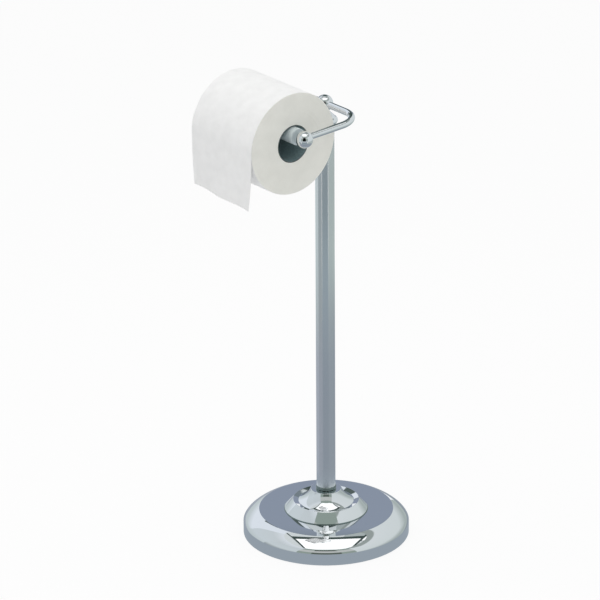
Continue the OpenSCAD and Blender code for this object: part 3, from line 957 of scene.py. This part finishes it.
def card(name, points, faces, stops, along):
    """Reflection card, which only the metal sees. Its colour follows stops of (place, colour) up or out."""
    obj = mesh_object(name, points, faces, smooth=False)
    material = bpy.data.materials.new(name)
    n = Nodes(material)
    glow = n.add("ShaderNodeEmission")
    place = n.add("ShaderNodeTexCoord")
    if along == "height":
        axes = n.add("ShaderNodeSeparateXYZ")
        n.join(place.outputs["Object"], axes.inputs["Vector"])
        value = axes.outputs["Z"]
    else:
        reach = n.add("ShaderNodeVectorMath", operation="LENGTH")
        n.join(place.outputs["Object"], reach.inputs[0])
        value = reach.outputs["Value"]
    first, last = stops[0][0], stops[-1][0]
    shares = [((where - first) / (last - first), colour) for where, colour in stops]
    n.join(n.ramp(n.spread(value, first, last, 0, 1), shares), glow.inputs["Color"])
    n.join(glow.outputs["Emission"], n.tree.nodes["Material Output"].inputs["Surface"])
    obj.data.materials.append(material)
    for rays in ("visible_camera", "visible_diffuse", "visible_shadow"):
        setattr(obj, rays, False)


def bent_card(name, start, end, steps, edges, stops, along):
    """Card round the post's axis between two directions, and between two edges of (distance, height)."""
    points = [studio(distance, start + (end - start) * i / steps, height)
              for distance, height in edges for i in range(steps + 1)]
    card(name, points, grid_faces(len(edges), steps + 1, False, False), stops, along)


def standing_card(name, distance, start, end, *stops):
    """Upright bent card, from the first stop's height to the last's."""
    edges = [(distance, stops[0][0]), (distance, stops[-1][0])]
    bent_card(name, start, end, STANDING_STEPS, edges, stops, "height")


def lying_card(name, height, start, end, *stops):
    """Flat ring or part of one, from the first stop's distance to the last's."""
    edges = [(stops[0][0], height), (stops[-1][0], height)]
    bent_card(name, start, end, LYING_STEPS, edges, stops, "distance")


def flat_card(name, corners, colour):
    """Plain card through corners of (towards the camera, to its right, height)."""
    points = [studio(math.hypot(ahead, right), math.degrees(math.atan2(right, ahead)), height)
              for ahead, right, height in corners]
    card(name, points, [tuple(range(len(corners)))], [(0, colour), (1, colour)], "height")


def add_black_flag():
    """Black card in front of the visible ball, in a plane through the foot, which hardly sees it."""
    ball = ROLLER + ACROSS * LEG_X
    ahead = ball.x * math.sin(AZIMUTH) - ball.y * math.cos(AZIMUTH)
    right = ball.x * math.cos(AZIMUTH) + ball.y * math.sin(AZIMUTH)
    lean = math.tan(FLAG_LEAN)
    corners = []
    for rise, sides in ((FLAG_LOW, (-1, 1)), (FLAG_HIGH, (1, -1))):
        slope = math.tan(rise)
        place = (ball.z - ahead * slope - PLATE_Z) / (lean - slope)
        spread = (place - ahead) * math.tan(FLAG_SIDE)
        corners += [(place, right + side * spread, PLATE_Z + lean * place) for side in sides]
    flat_card("black_flag", corners, (0.003, 0.003, 0.003))


def add_side_cards():
    """Cards that stand round the object, and the dark room behind them."""
    silver = (0.56, 0.63, 0.65)
    ash = (0.60, 0.66, 0.68)
    sky = (0.82, 0.87, 0.94)
    haze = (0.78, 0.82, 0.87)
    snow = (0.95, 0.97, 1.0)
    slate = (0.2, 0.24, 0.27)
    moss = (0.34, 0.38, 0.37)
    stone = (0.55, 0.57, 0.56)
    fern = (0.30, 0.36, 0.33)
    dim = (0.11, 0.135, 0.12)
    shade = (0.10, 0.13, 0.125)
    dark = (0.06, 0.085, 0.08)
    standing_card("left_back", LEFT_R, -168, LEFT_FAR, (0, silver), (0.12, ash), (0.3, sky), (1.3, sky))
    standing_card("left_panel", LEFT_R, LEFT_FAR, LEFT_SPLIT, (0, silver), (0.12, ash),
                  (0.35, (0.65, 0.71, 0.75)), (0.9, (0.64, 0.69, 0.72)), (1.3, haze))
    standing_card("left_front", LEFT_R, LEFT_SPLIT, -PANEL_START, (0, (0.375, 0.42, 0.435)),
                  (0.12, (0.31, 0.35, 0.37)), (0.35, (0.64, 0.70, 0.73)), (0.9, (0.62, 0.67, 0.70)),
                  (1.3, haze))
    standing_card("right_panel", RIGHT_R, PANEL_START, BACK_START, (0, (0.47, 0.535, 0.525)),
                  (0.12, (0.42, 0.475, 0.47)), (0.35, (0.70, 0.75, 0.76)), (1.15, (0.74, 0.78, 0.80)),
                  (1.2, moss), (1.5, moss))
    standing_card("back_panel", BACK_R, BACK_START, BACK_END, (0, snow), (0.18, snow),
                  (0.2, (0.28, 0.32, 0.42)), (0.48, (0.29, 0.335, 0.42)), (0.5, slate), (0.8, slate),
                  (0.82, dark), (1.3, dark))
    standing_card("back_left", BACK_LEFT_R, BACK_END, 215, (0.58, shade), (0.9, shade))
    for name, start, end, middle in (("camera_left", -CAMERA_HALF, -DIM_HALF, fern),
                                     ("camera_side", -DIM_HALF, DIM_HALF, dim),
                                     ("camera_right", DIM_HALF, CAMERA_HALF, fern)):
        standing_card(name, CAMERA_R, start, end, (0, (0.50, 0.55, 0.58)), (0.55, (0.46, 0.50, 0.52)),
                      (0.7, middle), (1.3, middle), (1.4, stone), (2.35, stone), (2.5, fern), (3.8, fern))
    standing_card("room", ROOM_R, -180, 180, (0, dark), (ROOM_H, dark))
    lying_card("ceiling", ROOM_H, -180, 180, (0, dark), (ROOM_R, dark))


def add_floor_cards():
    """Blue-grey cards on the floor, paler further out, with a dark stretch on the camera's side."""
    lying_card("floor_near", NEAR_LIFT, -180, 180, (0, (0.35, 0.40, 0.455)), (0.16, (0.34, 0.39, 0.445)))
    lying_card("floor_left", CARD_LIFT, -195, LEFT_SPLIT, (0, (0.40, 0.435, 0.50)),
               (0.5, (0.41, 0.44, 0.505)), (0.66, (0.485, 0.54, 0.56)), (LEFT_R, (0.55, 0.62, 0.64)))
    lying_card("floor_left_front", CARD_LIFT, LEFT_SPLIT, -FLOOR_HALF, (0, (0.345, 0.375, 0.43)),
               (0.5, (0.345, 0.372, 0.427)), (0.66, (0.35, 0.385, 0.40)), (LEFT_R, (0.385, 0.43, 0.445)))
    lying_card("floor_right", CARD_LIFT, FLOOR_HALF, 165, (0, (0.31, 0.345, 0.39)),
               (0.5, (0.31, 0.35, 0.395)), (0.66, (0.35, 0.39, 0.415)), (RIGHT_R, (0.52, 0.60, 0.58)))
    lying_card("floor_front", CARD_LIFT, -FLOOR_HALF, FLOOR_HALF, (0, (0.285, 0.32, 0.37)),
               (0.5, (0.28, 0.32, 0.37)), (0.83, (0.35, 0.42, 0.46)), (1.1, (0.19, 0.23, 0.25)),
               (1.3, (0.21, 0.25, 0.27)), (1.45, (0.50, 0.55, 0.58)), (CAMERA_R, (0.52, 0.57, 0.60)))


def add_upper_cards():
    """White and pale cards over the object, and the black flag before its visible ball."""
    white = (1.3, 1.3, 1.3)
    pale = (0.72, 0.76, 0.77)
    grey = (0.45, 0.5, 0.5)
    for name, colour, back, front, left, right in (("top_white", white, -0.5, 1.85, -1.35, 1.6),
                                                   ("top_left", pale, -2.0, 1.85, -2.3, -1.5),
                                                   ("top_right", pale, 0.0, 1.85, 1.8, 2.4),
                                                   ("top_right_back", white, -1.5, -0.1, 1.8, 2.4),
                                                   ("top_back", pale, -2.0, -1.0, -1.4, 0.6),
                                                   ("top_far", grey, -2.0, -1.0, 0.6, 1.6)):
        sides = ((back, left), (back, right), (front, right), (front, left))
        flat_card(name, [(ahead, across, UPPER_Z) for ahead, across in sides], colour)
    add_black_flag()


def dress_hidden():
    """Finishes of the CAD nodes that stay."""
    finishes = dict.fromkeys(("base_nut", "lock_washer", "flat_washer", "base_stud", "post_foot_insert",
                              "post_top_insert", "hub_stud"), zinc)
    finishes.update(base_weight=casting(), foot_pad=foam())
    for node, material in finishes.items():
        frame["nodes"][node].material_slots[0].material = material


add_camera()
make_foot()
make_bell()
make_collar()
make_post()
make_cap()
make_hub()
make_end_ball("visible_ball", 1, "right_ball")
make_end_ball("hidden_ball", -1, "left_ball")
make_bar()
make_sleeve()
make_plunger()
make_tip("visible_tip", 1, "roller_sleeve", "right_tip")
make_tip("hidden_tip", -1, "roller_plunger", "left_tip")
make_spring()
make_core()
make_roll()
make_sheet()
dress_hidden()
add_world()
add_floor()
add_lamp("top_lamp", way=-60, height=1.9, distance=0.38, size=1, watts=6, colour=(1, 0.99, 0.97))
add_side_cards()
add_floor_cards()
add_upper_cards()
bpy.context.scene.view_settings.view_transform = "Standard"
